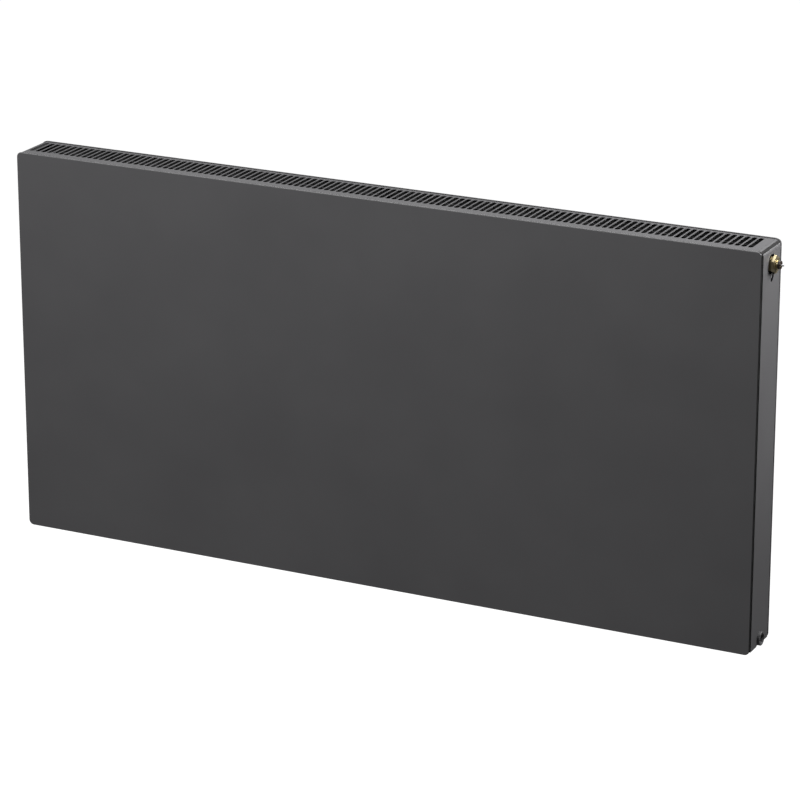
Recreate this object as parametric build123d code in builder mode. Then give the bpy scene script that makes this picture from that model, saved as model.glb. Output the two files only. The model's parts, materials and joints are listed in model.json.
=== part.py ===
"""A flat-front steel panel radiator with a built-in valve, hung on a wall.

Millimetres. +Z is up and the decorative front looks along -Y. Y = 0 is the back edge of the
radiator. The origin is midway between the seats of the two upper hanging lugs, on that plane.
Threads are plain cylinders at the minor radius of the thread.
"""

from build123d import *
import math
import os

# Overall size
width = 1200.0
height = 600.0
depth = 77.0
seat_below_top = 90.0

# Sheet thicknesses and small gaps
plate_t = 1.25
panel_t = 1.2
cover_t = 1.0
fin_t = 0.6
joint_gap = 0.8
part_gap = 0.3

# Front plate and the rim of the back sheet
corner_r = 8.0
plate_bend_r = 1.4
plate_depth = 2.0
plate_shadow_gap = 3.2
plate_to_seam = 9.7
rim_depth = 3.5

# Water panels
panel_side_gap = 12.0
panel_top_gap = 15.0
panel_bottom_gap = 1.8
press_depth = 6.1
channel_pitch = 33.0
channel_count = 35
channel_base = 24.0
header_base = 20.0
header_end_gap = 6.0
press_slope = 0.557

# Connections
hub_height = 13.0
hub_distance = 560.0
hub_from_side = 28.0
hub_depth = 40.0
tee_r = 12.5
tee_chamfer = 5.0
hub_r = 13.0
hub_collar_r = 10.4
hub_face_from_side = 4.0
thread_r = 9.3
water_r = 5.0
pipe_r = 7.5
pipe_wall = 1.5
pipe_bend_r = 30.0
connection_pitch = 50.0
return_from_side = 60.0
connection_thread_length = 16.0

# Covers
cover_drop = 1.0
cover_bend_r = 8.0
cover_bottom_gap = 3.5
cover_edge_r = 0.8
cover_flange = 8.0
valve_hole_r = 14.3
notch_r = 10.8
tongue_length = 10.0

# Grille
slot_count = 117
slot_pitch = 10.0
slot_width = 7.8
slot_length = 50.0
slot_back_margin = 3.6
slot_shift = -6.0
grille_flange = 10.0
clip_w = 14.0
clip_stations = (-480.0, -15.0, 440.0)
clip_inset = 5.5

# Convector and lugs
fin_first = 1
fin_last = 31
fin_base = 14.0
fin_reach = 44.0
fin_bottom = 45.0
fin_top = 540.0
lug_t = 2.0
lug_height = 40.0
lug_standoff = 5.4
lug_channels = (5, 29)
lower_lug_height = 100.0

# Values that follow from the driving dimensions
top = seat_below_top
bottom = top - height
side = width / 2
front = -depth
plate_back = front + plate_depth
cover_front = plate_back + plate_shadow_gap
rear_plate = -rim_depth
cover_back = rear_plate - joint_gap
front_seam = front + plate_to_seam
rear_seam = rear_plate
crest = press_depth
panel_half = side - panel_side_gap
panel_low = bottom + panel_bottom_gap
panel_high = top - panel_top_gap
hub_x = side - hub_from_side
hub_y = front + hub_depth
hub_face = side - hub_face_from_side
low_z = bottom + hub_height
high_z = low_z + hub_distance
tee_front = front_seam + crest
tee_back = rear_seam - crest
first_channel = -(channel_count - 1) / 2 * channel_pitch
cover_top = top - cover_drop
seam_x = side - cover_bend_r
return_x = side - return_from_side
supply_x = return_x - connection_pitch


def channel_x(index):
    """X of a vertical water channel, counted from the left."""
    return first_channel + index * channel_pitch


def turn(profile, z, mode=Mode.ADD):
    """Revolve (x, radius) points about the X axis through a hub at height z."""
    with BuildSketch(Plane(origin=(0, hub_y, z), x_dir=(1, 0, 0), z_dir=(0, -1, 0))) as section:
        with BuildLine():
            Polyline(*profile, close=True)
        make_face()
    revolve(section.sketch, axis=Axis((0, hub_y, z), (1, 0, 0)), mode=mode)


def bar(x_from, x_to, radius, inner=0.0):
    """The profile of a plain round stretch, or of a tube, for turn()."""
    return [(x_from, inner), (x_to, inner), (x_to, radius), (x_from, radius)]


def rod_y(x, z, y_from, y_to, radius, mode=Mode.ADD):
    """A cylinder along Y."""
    with BuildSketch(Plane.XZ.offset(-y_to)) as section:
        with Locations((x, z)):
            Circle(radius)
    extrude(section.sketch, amount=y_to - y_from, mode=mode)


def rod_z(x, z_from, z_to, radius, mode=Mode.ADD):
    """A cylinder along Z in the plane of the hubs."""
    with BuildSketch(Plane.XY.offset(z_from)) as section:
        with Locations((x, hub_y)):
            Circle(radius)
    extrude(section.sketch, amount=z_to - z_from, mode=mode)


def slab(x_from, x_to, y_from, y_to, z_from, z_to, mode=Mode.ADD):
    """A block between two corners."""
    with BuildSketch(Plane.XY.offset(z_from)) as section:
        with Locations(((x_from + x_to) / 2, (y_from + y_to) / 2)):
            Rectangle(x_to - x_from, y_to - y_from)
    extrude(section.sketch, amount=z_to - z_from, mode=mode)


def save(piece, name):
    """Label a finished piece and write its STEP file."""
    piece.part.label = name
    export_step(piece.part, f"parts/{name}.step")


os.makedirs("parts", exist_ok=True)


# ---------------------------------------------------------------- front plate
def rounded_outline(inset):
    """The radiator's front outline, moved inwards by inset."""
    with Locations((0, (top + bottom) / 2)):
        RectangleRounded(width - 2 * inset, height - 2 * inset, corner_r - inset)


with BuildPart() as front_plate:
    with BuildSketch(Plane.XZ.offset(-plate_back)):
        rounded_outline(0)
    extrude(amount=plate_depth)
    fillet(faces().sort_by(Axis.Y)[0].edges(), plate_bend_r)
    offset(amount=-plate_t, openings=faces().sort_by(Axis.Y)[-1])
save(front_plate, "front_plate")


# --------------------------------------------------------------- water panels
def pressing(base, inset):
    """(offset, reach) points of a pressed channel's section, inset by a sheet thickness."""
    flank = inset * math.hypot(1, press_slope)
    half = base / 2 - flank
    reach = press_depth - inset
    return [(-half, 0), (half, 0), (half - press_slope * reach, reach), (press_slope * reach - half, reach)]


def press_channels(seam, towards, inset, mode):
    """All vertical channels and both headers of one sheet."""
    channel = [(x, towards * y) for x, y in pressing(channel_base, inset)]
    with BuildSketch(Plane.XY.offset(low_z)) as channels:
        with Locations((0, seam)):
            with GridLocations(channel_pitch, 0, channel_count, 1):
                Polygon(*channel, align=None)
    extrude(channels.sketch, amount=hub_distance, mode=mode)
    header = [(towards * y, x) for x, y in pressing(header_base, inset)]
    with BuildSketch(Plane.YZ) as headers:
        with Locations((seam, low_z), (seam, high_z)):
            Polygon(*header, align=None)
    extrude(headers.sketch, amount=panel_half - header_end_gap - inset, both=True, mode=mode)


def panel_blank(seam, towards):
    """The flat blank of a water sheet."""
    with BuildSketch(Plane.XZ.offset(-seam)) as blank:
        with Locations((0, (panel_low + panel_high) / 2)):
            RectangleRounded(2 * panel_half, panel_high - panel_low, corner_r)
    extrude(blank.sketch, amount=-towards * panel_t)


with BuildPart() as front_panel_front_sheet:
    panel_blank(front_seam, -1)
    press_channels(front_seam, -1, 0, Mode.ADD)
    press_channels(front_seam, -1, panel_t, Mode.SUBTRACT)
save(front_panel_front_sheet, "front_panel_front_sheet")

with BuildPart() as front_panel_back_sheet:
    panel_blank(front_seam, 1)
    press_channels(front_seam, 1, 0, Mode.ADD)
    press_channels(front_seam, 1, panel_t, Mode.SUBTRACT)
    for x in (-hub_x, hub_x):
        for z in (low_z, high_z):
            rod_y(x, z, front_seam, tee_front, water_r, Mode.SUBTRACT)
save(front_panel_back_sheet, "front_panel_back_sheet")

with BuildPart() as rear_panel_front_sheet:
    panel_blank(rear_seam, -1)
    press_channels(rear_seam, -1, 0, Mode.ADD)
    press_channels(rear_seam, -1, panel_t, Mode.SUBTRACT)
    for x in (-hub_x, hub_x):
        for z in (low_z, high_z):
            rod_y(x, z, tee_back, rear_seam, water_r, Mode.SUBTRACT)
save(rear_panel_front_sheet, "rear_panel_front_sheet")

with BuildPart() as rear_panel_back_sheet:
    with BuildSketch(Plane.XZ.offset(-rear_plate)):
        rounded_outline(0)
    extrude(amount=-rim_depth)
    with BuildSketch(Plane.XZ):
        rounded_outline(panel_t)
    extrude(amount=rim_depth - panel_t, mode=Mode.SUBTRACT)
    press_channels(rear_seam, 1, 0, Mode.ADD)
    press_channels(rear_seam, 1, panel_t, Mode.SUBTRACT)
save(rear_panel_back_sheet, "rear_panel_back_sheet")

# Adhesive strips that hold the front plate on the channel crests.
strip_channels = range(1, channel_count, 4)
strip_w = 14.0
strip_low = 40.0
strip_high = 545.0
with BuildPart() as bonding_strips:
    for index in strip_channels:
        x_from = channel_x(index) - strip_w / 2
        strip_bottom = bottom + strip_low
        strip_top = bottom + strip_high
        slab(x_from, x_from + strip_w, front + plate_t, front_seam - crest, strip_bottom, strip_top)
save(bonding_strips, "bonding_strips")

# ------------------------------------------------------------------ convector
fin_in = tee_front
fin_out = tee_front + fin_reach
fin_half = fin_base / 2
fin_taper = 1.0
fin_outer_half = fin_half - fin_taper


def fin_line(base_half, base_y, outer_half, outer_y):
    """(x, y) corners along one face of the folded convector sheet, seen from above."""
    points = []
    for index in range(fin_first, fin_last + 1):
        x = channel_x(index)
        points += [(x - base_half, base_y), (x + base_half, base_y)]
        if index < fin_last:
            middle = x + channel_pitch / 2
            points += [(middle - outer_half, outer_y), (middle + outer_half, outer_y)]
    return points


with BuildPart() as convector:
    with BuildSketch(Plane.XY.offset(bottom + fin_bottom)):
        with BuildLine():
            near = fin_line(fin_half, fin_in, fin_outer_half - fin_t, fin_out - fin_t)
            far = fin_line(fin_half - fin_t, fin_in + fin_t, fin_outer_half, fin_out)
            Polyline(*near, *reversed(far), close=True)
        make_face()
    extrude(amount=fin_top - fin_bottom)
save(convector, "convector")

# ---------------------------------------------------- connectors and pipework
stub_r = 10.0
stub_length = 22.0
chamber_r = 7.0
seat_r = 4.5
seat_from_hub = 8.5
seat_t = 3.5
thread_depth = 20.0


def tee_body(side_sign, z):
    """The part that all four corner connectors share: a cross tube and a tapped hub."""
    x = side_sign * hub_x
    rod_y(x, z, tee_front, tee_back, tee_r)
    chamfer(edges().filter_by(GeomType.CIRCLE).group_by(Axis.Y)[0], tee_chamfer)
    chamfer(edges().filter_by(GeomType.CIRCLE).group_by(Axis.Y)[-1], tee_chamfer)
    turn(bar(x, side_sign * hub_face, hub_r), z)


def tee_passages(side_sign, z):
    """The water way through a connector and the thread in its hub."""
    x = side_sign * hub_x
    rod_y(x, z, tee_front, tee_back, water_r, Mode.SUBTRACT)
    turn(bar(x, side_sign * hub_face, water_r), z, Mode.SUBTRACT)
    turn(bar(side_sign * (hub_face - thread_depth), side_sign * hub_face, thread_r), z, Mode.SUBTRACT)


with BuildPart() as connector_top_left:
    tee_body(-1, high_z)
    tee_passages(-1, high_z)
save(connector_top_left, "connector_top_left")

with BuildPart() as connector_bottom_left:
    tee_body(-1, low_z)
    tee_passages(-1, low_z)
save(connector_bottom_left, "connector_bottom_left")

block_end = 15.0
block_left = supply_x - block_end
block_right = return_x + block_end
with BuildPart() as connector_bottom_right:
    tee_body(1, low_z)
    turn(bar(block_right, hub_x, stub_r), low_z)
    tee_passages(1, low_z)
    turn(bar(block_right, hub_x, water_r), low_z, Mode.SUBTRACT)
save(connector_bottom_right, "connector_bottom_right")

socket_end = hub_x - seat_from_hub - seat_t
with BuildPart() as valve_housing:
    tee_body(1, high_z)
    turn(bar(hub_x - stub_length, hub_x, stub_r), high_z)
    tee_passages(1, high_z)
    turn(bar(hub_x - seat_from_hub, hub_face, chamber_r), high_z, Mode.SUBTRACT)
    turn(bar(socket_end, hub_x, seat_r), high_z, Mode.SUBTRACT)
    turn(bar(hub_x - stub_length, socket_end, pipe_r), high_z, Mode.SUBTRACT)
save(valve_housing, "valve_housing")

block_half = 13.0
block_edge_r = 4.0
block_low = panel_low
block_high = bottom + 26.0
socket_low = bottom + 19.0
thread_top = block_low + connection_thread_length
with BuildPart() as connection_block:
    slab(block_left, block_right, hub_y - block_half, hub_y + block_half, block_low, block_high)
    fillet(edges().filter_by(Axis.Z), block_edge_r)
    rod_z(supply_x, block_low, thread_top, thread_r, Mode.SUBTRACT)
    rod_z(return_x, block_low, thread_top, thread_r, Mode.SUBTRACT)
    rod_z(supply_x, thread_top, socket_low, water_r, Mode.SUBTRACT)
    rod_z(supply_x, socket_low, block_high, pipe_r, Mode.SUBTRACT)
    turn(bar(return_x, block_right, water_r), low_z, Mode.SUBTRACT)
save(connection_block, "connection_block")

riser_turn = Plane((supply_x, hub_y, socket_low), x_dir=(1, 0, 0), z_dir=(0, -1, 0))
with BuildPart() as riser_pipe:
    with BuildLine(riser_turn) as riser_path:
        FilletPolyline(
            (0, 0),
            (0, high_z - socket_low),
            (socket_end - supply_x, high_z - socket_low),
            radius=pipe_bend_r,
        )
    with BuildSketch(Plane.XY.offset(socket_low)):
        with Locations((supply_x, hub_y)):
            Circle(pipe_r)
            Circle(pipe_r - pipe_wall, mode=Mode.SUBTRACT)
    sweep()
save(riser_pipe, "riser_pipe")

# ------------------------------------------------------------ valve, right top
hub_end = hub_face
hex_flats = 23.5
hex_r = hex_flats / 2 / math.cos(math.pi / 6)
hex_crown_r = hex_r * 0.93
hex_crown = 1.2
guide_from = hub_end - 18.0
guide_to = guide_from + 4.0
chamber_to = hub_end + 4.0
spring_chamber_r = 5.5
flange_from = hub_end + 1.0
flange_to = flange_from + 2.0
hex_from = side + 3.0
hex_to = side + 7.0
neck_to = side + 9.7
spigot_to = side + 12.4
ring_to = side + 13.5
pin_tip = side + 18.0
pin_r = 1.5
run_gap = 0.05
gland_r = 3.4
spigot_r = 4.6
neck_r = 6.0


def hexagon(radius, x_from, x_to, z):
    """A hexagonal prism about a hub's axis, one corner down, its outer corners taken off."""
    with BuildSketch(Plane.YZ.offset(min(x_from, x_to))) as outline:
        with Locations((hub_y, z)):
            RegularPolygon(radius, 6, rotation=30)
    extrude(outline.sketch, amount=abs(x_to - x_from))


with BuildPart() as valve_body:
    hexagon(hex_r, hex_from, hex_to, high_z)
    crown_from = hex_to - hex_crown
    crown = [(crown_from, hex_r + 2), (crown_from, hex_r), (hex_to, hex_crown_r), (hex_to, hex_r + 2)]
    turn(crown, high_z, Mode.SUBTRACT)
    turn(bar(guide_from, flange_to, thread_r), high_z)
    turn(bar(flange_from, flange_to, hub_collar_r), high_z)
    turn(bar(flange_to, hex_from, thread_r), high_z)
    turn(bar(hex_to, neck_to, neck_r), high_z)
    turn(bar(neck_to, spigot_to, spigot_r), high_z)
    turn(bar(guide_from, chamber_to, spring_chamber_r), high_z, Mode.SUBTRACT)
    turn(bar(chamber_to, spigot_to, gland_r), high_z, Mode.SUBTRACT)
save(valve_body, "valve_body")

with BuildPart() as valve_guide:
    turn(bar(guide_from, guide_to, spring_chamber_r, pin_r + run_gap), high_z)
save(valve_guide, "valve_guide")

gland_recess = 0.8
with BuildPart() as valve_gland:
    turn(bar(chamber_to, spigot_to - gland_recess, gland_r, pin_r + run_gap), high_z)
save(valve_gland, "valve_gland")

with BuildPart() as valve_seal:
    turn(bar(hub_end, flange_from, hub_collar_r, thread_r), high_z)
save(valve_seal, "valve_seal")

valve_lift = 2.8
disc_from = hub_x - seat_from_hub + valve_lift
disc_t = 2.5
disc_r = 6.2
disc_edge_r = 0.6
collar_t = 2.0
collar_gap = 0.1
collar_from = chamber_to - collar_t - collar_gap
collar_r = 4.8
pin_edge_r = 0.6
with BuildPart() as valve_pin:
    turn(bar(disc_from + disc_t, pin_tip, pin_r), high_z)
    turn(bar(collar_from, collar_from + collar_t, collar_r), high_z)
    fillet(edges().filter_by(GeomType.CIRCLE).sort_by(Axis.X)[-1], pin_edge_r)
save(valve_pin, "valve_pin")

with BuildPart() as valve_disc:
    turn(bar(disc_from, disc_from + disc_t, disc_r), high_z)
    fillet(edges().filter_by(GeomType.CIRCLE), disc_edge_r)
save(valve_disc, "valve_disc")

spring_r = 3.9
spring_wire_r = 0.45
spring_coils = 5
spring_low = guide_to + spring_wire_r + run_gap
spring_high = collar_from - spring_wire_r - run_gap
spring_length = spring_high - spring_low
with BuildPart() as valve_spring:
    with BuildLine() as spring_line:
        Helix(
            spring_length / spring_coils,
            spring_length,
            spring_r,
            center=(spring_low, hub_y, high_z),
            direction=(1, 0, 0),
        )
    with BuildSketch(Plane(spring_line.line @ 0, z_dir=spring_line.line % 0)):
        Circle(spring_wire_r)
    sweep(is_frenet=True)
save(valve_spring, "valve_spring")

ring_gap = 0.2
ring_from = neck_to + ring_gap
ring_lip_from = spigot_to + 0.3
ring_lip_r = 2.2
ring_edge = 0.5
flutes = 12
flute_r = 0.55
flute_centre_r = neck_r + 0.15
with BuildPart() as valve_preset_ring:
    turn(bar(ring_from, ring_to, neck_r, spigot_r + run_gap), high_z)
    turn(bar(ring_lip_from, ring_to, neck_r, ring_lip_r), high_z)
    chamfer(edges().filter_by(GeomType.CIRCLE).sort_by(SortBy.RADIUS)[-1], ring_edge)
    with BuildSketch(Plane.YZ.offset(ring_from)):
        with Locations((hub_y, high_z)):
            with PolarLocations(flute_centre_r, flutes):
                Circle(flute_r)
    extrude(amount=ring_to - ring_from, mode=Mode.SUBTRACT)
save(valve_preset_ring, "valve_preset_ring")

# ------------------------------------------------------------- vent, left top
vent_face = -hub_face
vent_in = vent_face + 14.0
vent_seal_to = vent_face - 1.0
vent_hex_from = vent_face - 3.0
vent_hex_to = vent_hex_from - 4.0
vent_groove_r = 7.4
vent_groove_to = vent_hex_to - 4.4
vent_head_r = 8.4
vent_head_to = vent_groove_to - 1.6
orifice_r = 1.0
needle_chamber_r = 2.0
needle_r = 1.6
needle_tip = vent_in - 1.7
screw_r = 3.6
screw_in = vent_face + 8.0
screw_out = vent_head_to + 0.6
key_square = 5.0
key_length = 5.0
key_slot_depth = 1.5
key_slot_half = 0.5
needle_gap = 0.2
needle_tip_r = orifice_r * 0.8
needle_taper = 1.0
spout_x = (vent_hex_to + vent_groove_to) / 2
spout_r = 0.8
with BuildPart() as vent_plug:
    hexagon(hex_r, vent_hex_to, vent_hex_from, high_z)
    turn(bar(vent_in, vent_seal_to, thread_r), high_z)
    turn(bar(vent_seal_to, vent_hex_from, hub_collar_r), high_z)
    turn(bar(vent_hex_to, vent_head_to, vent_groove_r), high_z)
    turn(bar(vent_groove_to, vent_head_to, vent_head_r), high_z)
    turn(bar(vent_in, needle_tip, orifice_r), high_z, Mode.SUBTRACT)
    turn(bar(needle_tip + needle_gap, screw_in, needle_chamber_r), high_z, Mode.SUBTRACT)
    turn(bar(screw_in + needle_gap, vent_head_to, screw_r + run_gap), high_z, Mode.SUBTRACT)
    rod_z(spout_x, high_z - vent_head_r, high_z, spout_r, Mode.SUBTRACT)
save(vent_plug, "vent_plug")

with BuildPart() as vent_seal:
    turn(bar(vent_face, vent_seal_to, hub_collar_r, thread_r), high_z)
save(vent_seal, "vent_seal")

with BuildPart() as vent_needle:
    turn(
        [
            (needle_tip, 0),
            (needle_tip, needle_tip_r),
            (needle_tip - needle_taper, needle_r),
            (screw_in, needle_r),
            (screw_in, 0),
        ],
        high_z,
    )
save(vent_needle, "vent_needle")

with BuildPart() as vent_screw:
    turn(bar(screw_in, screw_out + key_length, screw_r), high_z)
    with BuildSketch(Plane.YZ.offset(screw_out)):
        with Locations((hub_y, high_z)):
            Rectangle(key_square, key_square)
    extrude(amount=key_length)
    slot_end = screw_out + key_slot_depth
    low = high_z - key_slot_half
    high = high_z + key_slot_half
    slab(screw_out, slot_end, hub_y - screw_r, hub_y + screw_r, low, high, Mode.SUBTRACT)
save(vent_screw, "vent_screw")

spout_ring_r = 10.4
spout_tip_r = 13.4
spout_wall_r = 1.7
spout_edge_r = 0.5
spout_overlap = 0.2
with BuildPart() as vent_spout_ring:
    turn(bar(vent_hex_to - spout_overlap, vent_groove_to + spout_overlap, spout_ring_r), high_z)
    fillet(edges().filter_by(GeomType.CIRCLE), spout_edge_r)
    rod_z(spout_x, high_z - spout_tip_r, high_z, spout_wall_r)
    turn(bar(vent_hex_to, vent_groove_to, vent_groove_r + run_gap), high_z, Mode.SUBTRACT)
    rod_z(spout_x, high_z - spout_tip_r, high_z, spout_r, Mode.SUBTRACT)
save(vent_spout_ring, "vent_spout_ring")

# ------------------------------------------------------------ blanking plugs
plug_out = side + 4.0
plug_r = 10.4
plug_recess_r = 7.6
plug_recess = 1.2
plug_edge = 0.6
plug_recess_taper = 0.3
plug_hex = 12.0
plug_hex_depth = 6.0
plug_in = hub_face - 14.0
plug_seal_to = hub_face + 1.0
with BuildPart() as blanking_plugs:
    turn(bar(plug_in, plug_seal_to, thread_r), low_z)
    turn(
        [
            (plug_seal_to, 0),
            (plug_seal_to, plug_r),
            (plug_out - plug_edge, plug_r),
            (plug_out, plug_r - plug_edge),
            (plug_out, plug_recess_r + plug_recess_taper),
            (plug_out - plug_recess, plug_recess_r),
            (plug_out - plug_recess, 0),
        ],
        low_z,
    )
    with BuildSketch(Plane.YZ.offset(plug_out - plug_recess - plug_hex_depth)):
        with Locations((hub_y, low_z)):
            RegularPolygon(plug_hex / 2, 6, major_radius=False)
    extrude(amount=plug_hex_depth, mode=Mode.SUBTRACT)
    mirror(about=Plane.YZ)
save(blanking_plugs, "blanking_plugs")

with BuildPart() as plug_seals:
    turn(bar(hub_face, plug_seal_to, plug_r, thread_r), low_z)
    mirror(about=Plane.YZ)
save(plug_seals, "plug_seals")

# ---------------------------------------------------------------- top grille
grille_half = seam_x - part_gap
slot_y = cover_back - slot_back_margin - slot_length / 2
with BuildPart() as top_grille:
    slab(-grille_half, grille_half, cover_front, cover_back, cover_top - grille_flange, cover_top)
    fillet(edges().filter_by(Axis.X).group_by(Axis.Z)[-1], cover_edge_r)
    inner_front = cover_front + cover_t
    inner_back = cover_back - cover_t
    slab(
        -grille_half,
        grille_half,
        inner_front,
        inner_back,
        cover_top - grille_flange,
        cover_top - cover_t,
        Mode.SUBTRACT,
    )
    with BuildSketch(Plane.XY.offset(cover_top - cover_t)):
        with Locations((slot_shift, slot_y)):
            with GridLocations(slot_pitch, 0, slot_count, 1):
                SlotOverall(slot_length, slot_width, rotation=90)
    extrude(amount=cover_t, mode=Mode.SUBTRACT)
save(top_grille, "top_grille")

# Sheet-metal legs that stand the grille on the top edge of the convector.
clip_t = 1.0
clip_top = cover_top - cover_t
leg_foot = bottom + fin_top
joggle_z = top - 12.0
front_leg = fin_in + clip_inset
rear_leg = fin_out - clip_t
with BuildPart() as grille_clips:
    for x in clip_stations:
        x_from = x - clip_w / 2
        x_to = x + clip_w / 2
        slab(x_from, x_to, inner_front, inner_front + clip_t, joggle_z, clip_top)
        slab(x_from, x_to, inner_front, front_leg + clip_t, joggle_z, joggle_z + clip_t)
        slab(x_from, x_to, front_leg, front_leg + clip_t, leg_foot, joggle_z)
        slab(x_from, x_to, inner_back - clip_t, inner_back, joggle_z, clip_top)
        slab(x_from, x_to, rear_leg, inner_back, joggle_z, joggle_z + clip_t)
        slab(x_from, x_to, rear_leg, rear_leg + clip_t, leg_foot, joggle_z)
save(grille_clips, "grille_clips")

# --------------------------------------------------------------- side covers
cover_low = bottom + cover_bottom_gap
bend_z = cover_top - cover_bend_r
tongue_top = cover_top - cover_t - part_gap
tongue_side_gap = 0.4
slit_w = 6.2
slit_y = 5.3
slit_turn_z = -18.0
slit_turn_r = 5.2


def quarter(radius, mode=Mode.ADD):
    """A quarter disc that fills the bend at the top outer corner."""
    with Locations((seam_x, bend_z)):
        Circle(radius, mode=mode)


def side_cover_blank():
    """The folded sheet of the right-hand cover before its holes are cut."""
    for y_from, y_to, flat in (
        (cover_front, cover_back, 0),
        (cover_front + cover_t, cover_back - cover_t, cover_t),
    ):
        with BuildSketch(Plane.XZ.offset(-y_to)) as outline:
            quarter(cover_bend_r - flat)
            with Locations((seam_x, bend_z)):
                Rectangle(cover_bend_r, cover_bend_r, align=(Align.MIN, Align.MIN), mode=Mode.INTERSECT)
            with Locations((seam_x, cover_low)):
                Rectangle(cover_flange - flat, bend_z - cover_low, align=Align.MIN)
        extrude(outline.sketch, amount=y_to - y_from, mode=Mode.SUBTRACT if flat else Mode.ADD)
        if not flat:
            outer = edges().filter_by(GeomType.CIRCLE)
            upright = edges().filter_by(Axis.Z).group_by(Axis.X)[-1]
            fillet(outer + upright, cover_edge_r)
    y_from = inner_front + tongue_side_gap
    y_to = inner_back - tongue_side_gap
    slab(seam_x, seam_x + cover_t, y_from, y_to, tongue_top - cover_t, cover_top - cover_t)
    slab(seam_x - tongue_length, seam_x, y_from, y_to, tongue_top - cover_t, tongue_top)


def cut_cover_holes(with_slit):
    """The round hole at the top, the open notch at the bottom and the valve's relief slit."""
    with BuildSketch(Plane.YZ.offset(side - 2 * cover_t)) as holes:
        with Locations((hub_y, high_z)):
            Circle(valve_hole_r)
        with Locations((hub_y, low_z)):
            Circle(notch_r)
            Rectangle(2 * notch_r, 2 * hub_height, align=(Align.CENTER, Align.MAX))
        if with_slit:
            with BuildLine(mode=Mode.PRIVATE):
                arc_centre = (hub_y + slit_y - slit_turn_r, high_z + slit_turn_z)
                turn_arc = CenterArc(arc_centre, slit_turn_r, -90, 90)
            SlotArc(turn_arc, slit_w)
            with Locations((hub_y + slit_y, high_z + slit_turn_z / 2)):
                Rectangle(slit_w, -slit_turn_z)
    extrude(holes.sketch, amount=3 * cover_t, mode=Mode.SUBTRACT)


with BuildPart() as side_cover_right:
    side_cover_blank()
    cut_cover_holes(True)
save(side_cover_right, "side_cover_right")

with BuildPart() as side_cover_left:
    side_cover_blank()
    cut_cover_holes(False)
    mirror(about=Plane.YZ, mode=Mode.REPLACE)
save(side_cover_left, "side_cover_left")

# Spring clips on the inside of each cover that grip the corner connectors.
clip_grip = tee_r + part_gap
clip_leg_t = 0.8
clip_reach = 35.0
front_clip_from = tee_front + 6.7
front_clip_w = 4.0
rear_clip_to = tee_back - 1.9
rear_clip_w = 8.0
clip_spans = (
    (front_clip_from, front_clip_from + front_clip_w),
    (rear_clip_to - rear_clip_w, rear_clip_to),
)
cover_inner = side - cover_t


def cover_clips():
    """Clips of the right-hand cover: forks at the top, single fingers at the bottom."""
    for y_from, y_to in clip_spans:
        for z, lowest in ((high_z, -clip_grip - clip_leg_t), (low_z, 0.0)):
            highest = z + clip_grip + clip_leg_t
            slab(cover_inner - clip_leg_t, cover_inner, y_from, y_to, z + lowest, highest)
            slab(cover_inner - clip_reach, cover_inner, y_from, y_to, highest - clip_leg_t, highest)
            if lowest:
                floor_z = z + lowest
                slab(cover_inner - clip_reach, cover_inner, y_from, y_to, floor_z, floor_z + clip_leg_t)


with BuildPart() as side_cover_clips_right:
    cover_clips()
save(side_cover_clips_right, "side_cover_clips_right")

with BuildPart() as side_cover_clips_left:
    cover_clips()
    mirror(about=Plane.YZ, mode=Mode.REPLACE)
save(side_cover_clips_left, "side_cover_clips_left")

# ------------------------------------------------------------- hanging lugs
lug_leg_in = 12.7
lug_foot_out = 20.0
lug_web_y = rear_seam + crest + lug_standoff
lug_foot_y = rear_seam + panel_t
with BuildPart() as hanging_lugs:
    for index in lug_channels:
        x = channel_x(index)
        for seat_z in (0.0, bottom + lower_lug_height):
            low = seat_z + lug_t - lug_height
            high = seat_z + lug_t
            for way in (-1, 1):
                leg = sorted((x + way * lug_leg_in, x + way * (lug_leg_in + lug_t)))
                foot = sorted((x + way * lug_leg_in, x + way * lug_foot_out))
                slab(*leg, lug_foot_y, lug_web_y + lug_t, low, high)
                slab(*foot, lug_foot_y, lug_foot_y + lug_t, low, high)
            slab(x - lug_leg_in, x + lug_leg_in, lug_web_y, lug_web_y + lug_t, low, high)
            slab(x - lug_leg_in, x + lug_leg_in, rear_seam + crest + part_gap, lug_web_y, seat_z, high)
save(hanging_lugs, "hanging_lugs")
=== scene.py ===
"""Looks of the flat-front panel radiator: materials, finely made sheet pieces, floor, light and camera."""

import json
import math

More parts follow.
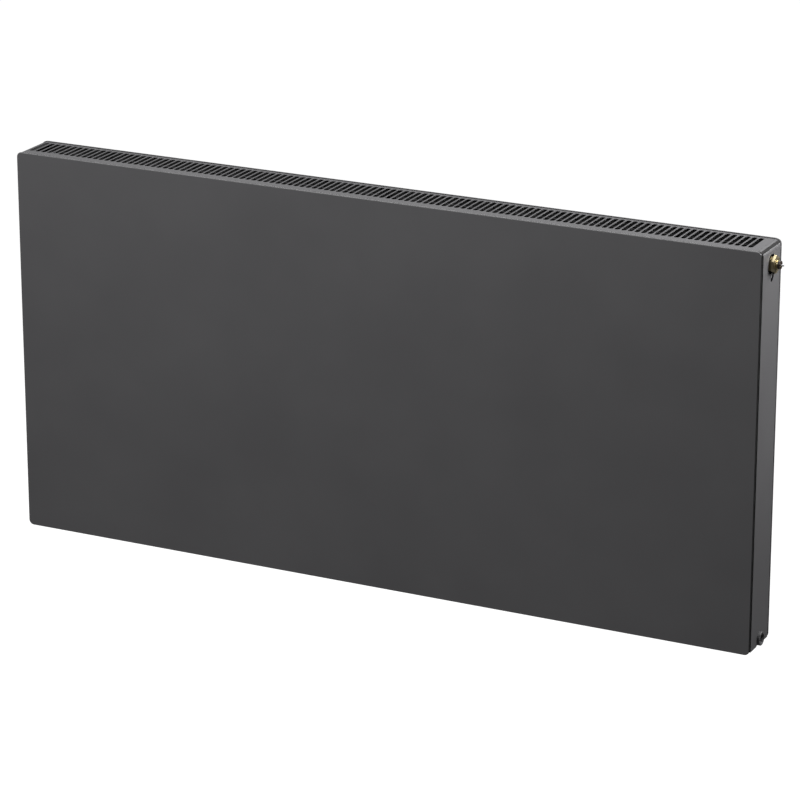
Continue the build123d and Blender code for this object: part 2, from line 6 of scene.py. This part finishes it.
import bmesh
import bpy
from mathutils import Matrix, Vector


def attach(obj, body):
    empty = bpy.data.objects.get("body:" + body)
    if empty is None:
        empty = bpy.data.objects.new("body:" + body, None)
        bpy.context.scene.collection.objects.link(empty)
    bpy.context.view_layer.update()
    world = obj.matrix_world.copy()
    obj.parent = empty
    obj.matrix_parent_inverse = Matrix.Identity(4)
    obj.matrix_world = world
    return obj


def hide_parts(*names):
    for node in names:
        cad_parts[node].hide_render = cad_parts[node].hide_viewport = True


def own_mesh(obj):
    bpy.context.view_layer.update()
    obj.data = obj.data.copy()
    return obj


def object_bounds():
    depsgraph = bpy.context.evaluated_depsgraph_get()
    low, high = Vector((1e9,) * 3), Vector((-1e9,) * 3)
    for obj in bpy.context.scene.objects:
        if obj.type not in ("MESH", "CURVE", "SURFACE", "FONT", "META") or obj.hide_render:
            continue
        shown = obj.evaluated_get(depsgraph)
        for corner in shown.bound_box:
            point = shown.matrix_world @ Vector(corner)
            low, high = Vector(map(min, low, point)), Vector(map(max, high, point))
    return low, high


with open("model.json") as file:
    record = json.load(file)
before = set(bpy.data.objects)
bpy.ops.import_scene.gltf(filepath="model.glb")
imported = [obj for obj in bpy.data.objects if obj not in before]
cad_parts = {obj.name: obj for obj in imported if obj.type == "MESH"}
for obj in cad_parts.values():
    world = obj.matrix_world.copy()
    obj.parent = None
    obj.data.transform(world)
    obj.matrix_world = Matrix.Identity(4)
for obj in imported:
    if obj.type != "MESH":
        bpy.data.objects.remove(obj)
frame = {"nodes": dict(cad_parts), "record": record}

cad_low, cad_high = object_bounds()
nodes = frame["nodes"]

# ------------------------------------------------------------------ materials
MASK_BLUR = 0.0004
COVER_INSIDE_X = 0.5989
COVER_INSIDE_Z = 0.0882
PLATE_EDGE_X = 0.5991
PLATE_EDGE_Z = -0.5094
GRILLE_LIP_Y = -0.0713
COVER_LIP_Y = -0.0703
# Near-black colour painted in as shade: the shadow gaps round the front plate and the insides of the
# covers and grille.
PAINTED_GAP_SHADE = (0.003, 0.003, 0.003, 1)


def new_material(name):
    """A node material, its node tree and its shader."""
    material = bpy.data.materials.new(name)
    material.use_nodes = True
    tree = material.node_tree
    return material, tree, tree.nodes["Principled BSDF"]


def noise(tree, scale, detail=3.0, roughness=0.5, stretch=(1, 1, 1)):
    """Noise over the object's own coordinates, in features per metre."""
    place = tree.nodes.new("ShaderNodeTexCoord")
    mapping = tree.nodes.new("ShaderNodeMapping")
    mapping.inputs["Scale"].default_value = stretch
    texture = tree.nodes.new("ShaderNodeTexNoise")
    texture.inputs["Scale"].default_value = scale
    texture.inputs["Detail"].default_value = detail
    texture.inputs["Roughness"].default_value = roughness
    tree.links.new(place.outputs["Object"], mapping.inputs["Vector"])
    tree.links.new(mapping.outputs["Vector"], texture.inputs["Vector"])
    return texture.outputs["Fac"]


def ramp(tree, value, low, high):
    """Maps a 0 to 1 value onto the span between two numbers."""
    node = tree.nodes.new("ShaderNodeMapRange")
    node.inputs["From Min"].default_value = 0.3
    node.inputs["From Max"].default_value = 0.7
    node.inputs["To Min"].default_value = low
    node.inputs["To Max"].default_value = high
    tree.links.new(value, node.inputs["Value"])
    return node.outputs["Result"]


def tint(tree, value, dark, light):
    """A colour between two, picked by a value."""
    node = tree.nodes.new("ShaderNodeMix")
    node.data_type = "RGBA"
    node.inputs["A"].default_value = (*dark, 1)
    node.inputs["B"].default_value = (*light, 1)
    tree.links.new(ramp(tree, value, 0, 1), node.inputs["Factor"])
    return node.outputs["Result"]


def bump(tree, shader, *layers):
    """Stacks (height, strength, distance) layers of surface relief."""
    normal = None
    for height, strength, distance in layers:
        node = tree.nodes.new("ShaderNodeBump")
        node.inputs["Strength"].default_value = strength
        node.inputs["Distance"].default_value = distance
        tree.links.new(height, node.inputs["Height"])
        if normal:
            tree.links.new(normal, node.inputs["Normal"])
        normal = node.outputs["Normal"]
    tree.links.new(normal, shader.inputs["Normal"])


def side_of(tree, axis, limit, under=1.0, over=0.0, mirrored=False, blur=MASK_BLUR):
    """One value where the object's own coordinate is under a limit, another where it is over."""
    place = tree.nodes.new("ShaderNodeTexCoord")
    parts = tree.nodes.new("ShaderNodeSeparateXYZ")
    tree.links.new(place.outputs["Object"], parts.inputs["Vector"])
    value = parts.outputs[axis]
    if mirrored:
        size = tree.nodes.new("ShaderNodeMath")
        size.operation = "ABSOLUTE"
        tree.links.new(value, size.inputs[0])
        value = size.outputs["Value"]
    node = tree.nodes.new("ShaderNodeMapRange")
    node.inputs["From Min"].default_value = limit - blur / 2
    node.inputs["From Max"].default_value = limit + blur / 2
    node.inputs["To Min"].default_value = under
    node.inputs["To Max"].default_value = over
    tree.links.new(value, node.inputs["Value"])
    return node.outputs["Result"]


def combine(tree, operation, first, second):
    """Two values joined by a maths operation."""
    node = tree.nodes.new("ShaderNodeMath")
    node.operation = operation
    tree.links.new(first, node.inputs[0])
    tree.links.new(second, node.inputs[1])
    return node.outputs["Value"]


def inside_and_lip_painted_shade(tree, lip):
    """Mask for painted shade inside the covers and on the lips that face the front plate, where the shadow
    gap falls.
    """
    between_ends = side_of(tree, "X", COVER_INSIDE_X, mirrored=True, blur=MASK_BLUR / 2)
    inside = combine(tree, "MULTIPLY", between_ends, side_of(tree, "Z", COVER_INSIDE_Z))
    return combine(tree, "MAXIMUM", inside, side_of(tree, "Y", lip))


def plate_edge_painted_shade(tree):
    """Mask for painted shade on the side and bottom edges of the front plate, where they turn into the
    shadow gap.
    """
    sides = side_of(tree, "X", PLATE_EDGE_X, under=0.0, over=1.0, mirrored=True)
    return combine(tree, "MAXIMUM", sides, side_of(tree, "Z", PLATE_EDGE_Z))


def grille_painted_shade(tree):
    """Mask for the painted shade on the top grille."""
    return inside_and_lip_painted_shade(tree, GRILLE_LIP_Y)


def cover_painted_shade(tree):
    """Mask for the painted shade on a side cover."""
    return inside_and_lip_painted_shade(tree, COVER_LIP_Y)


def powder_coat(name, dark, light, rough=(0.40, 0.50), shade=None, specular=0.5):
    """Satin powder coat with a fine orange peel and a faint unevenness of colour; where a shade mask is
    given, near-black painted shade is mixed in.
    """
    material, tree, shader = new_material(name)
    broad = noise(tree, 7.0)
    fine = noise(tree, 900.0, detail=2.0)
    peel = noise(tree, 420.0, detail=1.5)
    colour = tint(tree, broad, dark, light)
    roughness = ramp(tree, fine, *rough)
    # Painted shade: the mask mixes the near-black gap colour into the coat and makes it rough there.
    if shade:
        mask = shade(tree)
        node = tree.nodes.new("ShaderNodeMix")
        node.data_type = "RGBA"
        node.inputs["B"].default_value = PAINTED_GAP_SHADE
        tree.links.new(colour, node.inputs["A"])
        tree.links.new(mask, node.inputs["Factor"])
        colour = node.outputs["Result"]
        roughness = combine(tree, "MAXIMUM", roughness, mask)
    tree.links.new(colour, shader.inputs["Base Color"])
    tree.links.new(roughness, shader.inputs["Roughness"])
    shader.inputs["Specular IOR Level"].default_value = specular
    bump(tree, shader, (peel, 0.06, 0.0006), (fine, 0.03, 0.0003))
    return material


def metal(name, dark, light, rough, stretch, scale=300.0, metallic=1.0):
    """Bare or plated metal with the fine lines that turning or drawing leaves."""
    material, tree, shader = new_material(name)
    lines = noise(tree, scale, detail=4.0, stretch=stretch)
    spots = noise(tree, 160.0, detail=3.0)
    tree.links.new(tint(tree, spots, dark, light), shader.inputs["Base Color"])
    tree.links.new(ramp(tree, lines, *rough), shader.inputs["Roughness"])
    shader.inputs["Metallic"].default_value = metallic
    bump(tree, shader, (lines, 0.12, 0.0002))
    return material


def soft(name, dark, light, rough, grain=1400.0):
    """Moulded plastic, rubber or sealant with a fine grain."""
    material, tree, shader = new_material(name)
    broad = noise(tree, 90.0)
    fine = noise(tree, grain, detail=2.0)
    tree.links.new(tint(tree, broad, dark, light), shader.inputs["Base Color"])
    tree.links.new(ramp(tree, fine, *rough), shader.inputs["Roughness"])
    bump(tree, shader, (fine, 0.12, 0.0002))
    return material


ANTHRACITE = ((0.068, 0.067, 0.070), (0.076, 0.075, 0.078))
SATIN = (0.48, 0.58)
paint = powder_coat("anthracite_powder_coat", *ANTHRACITE, SATIN)
# The plate, grille and cover coats carry near-black painted shade in the gaps and inside.
plate_paint = powder_coat("anthracite_plate_coat_painted_shade", *ANTHRACITE, SATIN, plate_edge_painted_shade)
grille_paint = powder_coat("anthracite_grille_coat_painted_shade", *ANTHRACITE, SATIN, grille_painted_shade)
cover_paint = powder_coat("anthracite_cover_coat_painted_shade", *ANTHRACITE, SATIN, cover_painted_shade)
# Near-black painted shade for the inside pieces seen through the slots and gaps; the real inside coat is
# the same anthracite as outside.
INSIDE_SHADE_COLOURS = ((0.006, 0.006, 0.0062), (0.009, 0.009, 0.0092))
inside_shade_coat = powder_coat("anthracite_inside_painted_shade", *INSIDE_SHADE_COLOURS, (0.75, 0.90), specular=0.1)
brass = metal("turned_brass", (0.36, 0.30, 0.18), (0.52, 0.45, 0.29), (0.28, 0.44), (1, 0.15, 0.15))
nickel = metal("nickel_plate", (0.55, 0.54, 0.50), (0.72, 0.70, 0.66), (0.16, 0.30), (1, 0.15, 0.15))
steel = metal("stainless_steel", (0.42, 0.42, 0.43), (0.58, 0.58, 0.59), (0.22, 0.36), (1, 0.15, 0.15))
ZINC = ((0.38, 0.39, 0.40), (0.52, 0.53, 0.55))
spring_steel = metal("zinc_plated_steel", *ZINC, (0.30, 0.48), (1, 1, 0.1), 220.0)
dark_plastic = soft("dark_moulded_plastic", (0.014, 0.008, 0.006), (0.028, 0.017, 0.012), (0.26, 0.40))
white_plastic = soft("white_moulded_plastic", (0.66, 0.66, 0.64), (0.76, 0.76, 0.74), (0.34, 0.46))
rubber = soft("seal_rubber", (0.012, 0.012, 0.012), (0.024, 0.024, 0.024), (0.62, 0.80))
sealant = soft("panel_adhesive", (0.22, 0.22, 0.21), (0.30, 0.30, 0.28), (0.70, 0.85), 700.0)

SLOT_MATERIALS = {
    "anthracite_paint": paint,
    "brass": brass,
    "nickel_plate": nickel,
    "stainless_steel": steel,
    "spring_steel": spring_steel,
    "dark_plastic": dark_plastic,
    "white_plastic": white_plastic,
    "seal_rubber": rubber,
    "adhesive": sealant,
}
# Inside pieces that get the near-black painted shade instead of the anthracite coat.
INNER_NODES = (
    "front_panel_front_sheet",
    "front_panel_back_sheet",
    "rear_panel_front_sheet",
    "convector",
    "connector_top_left",
    "connector_bottom_left",
    "connector_bottom_right",
    "valve_housing",
    "connection_block",
    "riser_pipe",
    "grille_clips",
)

# Outer pieces whose coat carries painted shade at the gaps and inside.
OUTER_PAINT = {
    "front_plate": plate_paint,
    "top_grille": grille_paint,
    "side_cover_right": cover_paint,
    "side_cover_left": cover_paint,
}

node_slot = {entry["node"]: entry["material_slot"] for entry in frame["record"]["subparts"]}
for name, obj in nodes.items():
    chosen = inside_shade_coat if name in INNER_NODES else SLOT_MATERIALS[node_slot[name]]
    chosen = OUTER_PAINT.get(name, chosen)
    for index in range(len(obj.material_slots)):
        obj.material_slots[index].material = chosen

# ------------------------------------------------------- back sheet of the rear panel
SEAM_Y = -0.0035
SHEET = 0.0012
PRESS_DEPTH = 0.0061
CHANNEL_PITCH = 0.033
CHANNELS = 35
CHANNEL_HALF = 0.012
HEADER_HALF = 0.010
HEADER_Z = (0.063, -0.497)
HEADER_REACH = 0.582
FLANK = 0.0046
HALF_WIDTH = 0.6
TOP_Z = 0.09
BOTTOM_Z = -0.51
CORNER_R = 0.008
EDGE = 0.0003
MARGIN = 0.002
FINE_STEP = 0.0012
RIM_STEP = 0.003
LONG_STEP = 0.03
COLUMN_STEP = CHANNEL_PITCH / 22
MERGE = 0.00002


def smooth(value):
    """An eased step from 0 to 1."""
    value = min(1.0, max(0.0, value))
    return value * value * (3 - 2 * value)


def pressed(x, z):
    """How far the sheet is pressed out at a point, as a share of the full depth."""
    index = round(x / CHANNEL_PITCH)
    index = min((CHANNELS - 1) // 2, max(-(CHANNELS - 1) // 2, index))
    across = smooth((CHANNEL_HALF - abs(x - index * CHANNEL_PITCH)) / FLANK)
    between = HEADER_Z[1] <= z <= HEADER_Z[0]
    channel = across if between else 0.0
    header = 0.0
    for level in HEADER_Z:
        rise = smooth((HEADER_HALF - abs(z - level)) / FLANK)
        end = smooth((HEADER_REACH - abs(x)) / FLANK)
        header = max(header, rise * end)
    return max(channel, header)


def outline_reach(z, inset):
    """Half the width of the rounded outline at height z."""
    radius = CORNER_R - inset
    rise = max(z - (TOP_Z - CORNER_R), BOTTOM_Z + CORNER_R - z, 0.0)
    return HALF_WIDTH - CORNER_R + math.sqrt(max(radius * radius - rise * rise, 0.0))


def outward(x, z):
    """The outline's outward direction at a point on its edge."""
    dx = max(abs(x) - (HALF_WIDTH - CORNER_R), 0.0) * math.copysign(1, x)
    rise = max(z - (TOP_Z - CORNER_R), 0.0)
    drop = max(BOTTOM_Z + CORNER_R - z, 0.0)
    return Vector((dx, 0, rise - drop)).normalized()


def spread(start, stop, step):
    """Evenly spaced values from start to stop."""
    count = max(1, math.ceil((stop - start) / step))
    return [start + (stop - start) * i / count for i in range(count + 1)]


def rear_sheet():
    """The pressed sheet that faces the wall: rounded channels and headers inside a folded rim."""
    inset = SHEET
    low, high = BOTTOM_Z + inset, TOP_Z - inset
    foot, head = HEADER_Z[1] + HEADER_HALF + MARGIN, HEADER_Z[0] - HEADER_HALF - MARGIN
    rows = set()
    for start, stop, step in (
        (low, BOTTOM_Z + CORNER_R, FINE_STEP),
        (BOTTOM_Z + CORNER_R, foot, FINE_STEP),
        (foot, head, LONG_STEP),
        (head, HEADER_Z[0] + HEADER_HALF, FINE_STEP),
        (HEADER_Z[0] + HEADER_HALF, TOP_Z - CORNER_R, RIM_STEP),
        (TOP_Z - CORNER_R, high, FINE_STEP),
    ):
        rows.update(round(z, 6) for z in spread(start, stop, step))
    rows = sorted(rows)
    wide = HALF_WIDTH - inset
    columns = sorted({round(x, 6) for x in spread(-wide, wide, COLUMN_STEP)})
    base_y = SEAM_Y + SHEET
    mesh = bmesh.new()
    grid = []
    for z in rows:
        reach = outline_reach(z, inset)
        line = []
        for x in columns:
            x = min(reach, max(-reach, x))
            line.append(mesh.verts.new((x, base_y + (PRESS_DEPTH - SHEET) * pressed(x, z), z)))
        grid.append(line)
    for under, over in zip(grid, grid[1:]):
        for i in range(len(columns) - 1):
            mesh.faces.new((under[i], over[i], over[i + 1], under[i + 1]))
    bmesh.ops.remove_doubles(mesh, verts=mesh.verts, dist=MERGE)
    edges = [edge for edge in mesh.edges if edge.is_boundary]
    flat = SHEET - 2 * EDGE
    fold = ((0.0, -EDGE), (EDGE, EDGE), (flat, 0.0), (EDGE, -EDGE), (0.0, SEAM_Y + EDGE))
    for out, y in fold:
        grown = bmesh.ops.extrude_edge_only(mesh, edges=edges)["geom"]
        edges = [item for item in grown if isinstance(item, bmesh.types.BMEdge)]
        for vert in (item for item in grown if isinstance(item, bmesh.types.BMVert)):
            vert.co += outward(vert.co.x, vert.co.z) * out
            vert.co.y = y if out == 0.0 else vert.co.y + y
    bmesh.ops.recalc_face_normals(mesh, faces=mesh.faces)
    data = bpy.data.meshes.new("rear_pressed_sheet")
    mesh.to_mesh(data)
    mesh.free()
    data.shade_smooth()
    sheet = bpy.data.objects.new("rear_pressed_sheet", data)
    bpy.context.collection.objects.link(sheet)
    return sheet


sheet = rear_sheet()
sheet.data.materials.append(paint)
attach(sheet, "radiator")
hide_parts("rear_panel_back_sheet")

# ------------------------------------------------------- spring inside the valve
HUB_Y = -0.037
HUB_Z = 0.063
SPRING_LOW = 0.5825
SPRING_HIGH = 0.5974
SPRING_R = 0.0039
WIRE_R = 0.00045
OPEN_TURNS = 4.5
TURNS = OPEN_TURNS + 2
CLOSED_PITCH = 0.00092
TURN_STEPS = 28
WIRE_SIDES = 10


def spring_reach(turn):
    """How far along its axis the spring has climbed after some turns: closed, open, closed."""
    open_rise = SPRING_HIGH - SPRING_LOW - 2 * CLOSED_PITCH
    middle = min(OPEN_TURNS, max(0.0, turn - 1.0)) / OPEN_TURNS
    ends = min(turn, 1.0) + max(0.0, turn - 1.0 - OPEN_TURNS)
    return CLOSED_PITCH * ends + open_rise * middle


def coil_spring():
    """The compression spring round the pin, with closed end turns."""
    steps = round(TURNS * TURN_STEPS)
    verts = []
    faces = []
    for i in range(steps + 1):
        turn = TURNS * i / steps
        angle = 2 * math.pi * turn
        out = Vector((0, math.cos(angle), math.sin(angle)))
        middle = Vector((SPRING_LOW + spring_reach(turn), HUB_Y, HUB_Z)) + out * SPRING_R
        for j in range(WIRE_SIDES):
            side = 2 * math.pi * j / WIRE_SIDES
            verts.append(middle + out * WIRE_R * math.cos(side) + Vector((WIRE_R * math.sin(side), 0, 0)))
        for j in range(WIRE_SIDES if i else 0):
            k = (j + 1) % WIRE_SIDES
            last = (i - 1) * WIRE_SIDES
            here = i * WIRE_SIDES
            faces.append((last + j, here + j, here + k, last + k))
    faces.append(tuple(range(WIRE_SIDES)))
    faces.append(tuple(reversed(range(steps * WIRE_SIDES, (steps + 1) * WIRE_SIDES))))
    data = bpy.data.meshes.new("valve_coil_spring")
    data.from_pydata(verts, [], faces)
    mesh = bmesh.new()
    mesh.from_mesh(data)
    bmesh.ops.recalc_face_normals(mesh, faces=mesh.faces)
    mesh.to_mesh(data)
    mesh.free()
    data.shade_smooth()
    coil = bpy.data.objects.new("valve_coil_spring", data)
    bpy.context.collection.objects.link(coil)
    return coil


coil = coil_spring()
coil.data.materials.append(SLOT_MATERIALS[node_slot["valve_spring"]])
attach(coil, "radiator")
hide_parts("valve_spring")
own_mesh(coil)

# ------------------------------------------------------- floor, light, camera
FLOOR_DROP = 0.35
FLOOR_SIZE = 60
FLOOR_COLOUR = (0.06, 0.06, 0.06, 1)
FLOOR_GLOW = 0.04
WORLD_GLOW = 0.12
WHITE = (1.0, 1.0, 1.0, 1.0)


def camera_only_white(tree, unseen):
    """A strength of 1 straight from the camera and another value for all other light."""
    path = tree.nodes.new("ShaderNodeLightPath")
    strength = tree.nodes.new("ShaderNodeMapRange")
    strength.inputs["To Min"].default_value = unseen
    strength.inputs["To Max"].default_value = 1.0
    tree.links.new(path.outputs["Is Camera Ray"], strength.inputs["Value"])
    return strength.outputs["Result"]


world = bpy.data.worlds.new("studio")
world.use_nodes = True
bpy.context.scene.world = world
backdrop = world.node_tree.nodes["Background"]
backdrop.inputs["Color"].default_value = WHITE
world.node_tree.links.new(camera_only_white(world.node_tree, WORLD_GLOW), backdrop.inputs["Strength"])

bpy.ops.mesh.primitive_plane_add(size=FLOOR_SIZE, location=(0, 0, cad_low.z - FLOOR_DROP))
floor = bpy.context.active_object
floor.name = "studio_floor"
floor_material, floor_tree, floor_shader = new_material("pale_floor")
floor_shader.inputs["Base Color"].default_value = FLOOR_COLOUR
floor_shader.inputs["Roughness"].default_value = 1.0
floor_shader.inputs["Emission Color"].default_value = WHITE
floor_tree.links.new(camera_only_white(floor_tree, FLOOR_GLOW), floor_shader.inputs["Emission Strength"])
floor.data.materials.append(floor_material)


def area_light(name, place, target, width, height, power):
    """A rectangular soft light aimed at a point."""
    data = bpy.data.lights.new(name, "AREA")
    data.shape = "RECTANGLE"
    data.size = width
    data.size_y = height
    data.energy = power
    light = bpy.data.objects.new(name, data)
    bpy.context.collection.objects.link(light)
    light.location = place
    light.visible_camera = False
    light.rotation_mode = "QUATERNION"
    light.rotation_quaternion = (Vector(target) - Vector(place)).to_track_quat("-Z", "Y")
    return light


area_light("top_light", (-0.45, 0.75, 1.9), (-0.1, -0.03, 0.09), 2.1, 1.0, 48)
area_light("high_front_light", (-0.35, -1.3, 1.6), (0, -0.077, -0.1), 1.9, 0.6, 35)
area_light("side_light", (1.15, 0.28, 0.43), (0.6, -0.03, -0.2), 0.45, 0.45, 16)
area_light("bend_light", (1.37, 2.0, 1.1), (0.6, -0.03, 0.09), 0.8, 0.8, 7)
area_light("front_light", (-1.7, -2.4, 1.7), (-0.2, -0.077, -0.1), 1.4, 1.4, 48)
area_light("back_light", (-1.3, 2.0, -0.3), (0.1, 0, -0.25), 0.8, 0.4, 20)

CAMERA_PLACE = (2.331, -4.704, 1.556)
LENS = 167.92
SENSOR = 36.0
FAR_CLIP = 200.0
azimuth = math.radians(26.29)
elevation = math.radians(18.87)
flat = math.cos(elevation)

camera_data = bpy.data.cameras.new("camera")
camera_data.lens = LENS
camera_data.sensor_width = SENSOR
camera_data.clip_end = FAR_CLIP
camera = bpy.data.objects.new("camera", camera_data)
bpy.context.collection.objects.link(camera)
camera.location = CAMERA_PLACE
look = Vector((-math.sin(azimuth) * flat, math.cos(azimuth) * flat, -math.sin(elevation)))
camera.rotation_mode = "QUATERNION"
camera.rotation_quaternion = look.to_track_quat("-Z", "Y")
bpy.context.scene.camera = camera
bpy.context.scene.view_settings.view_transform = "Standard"
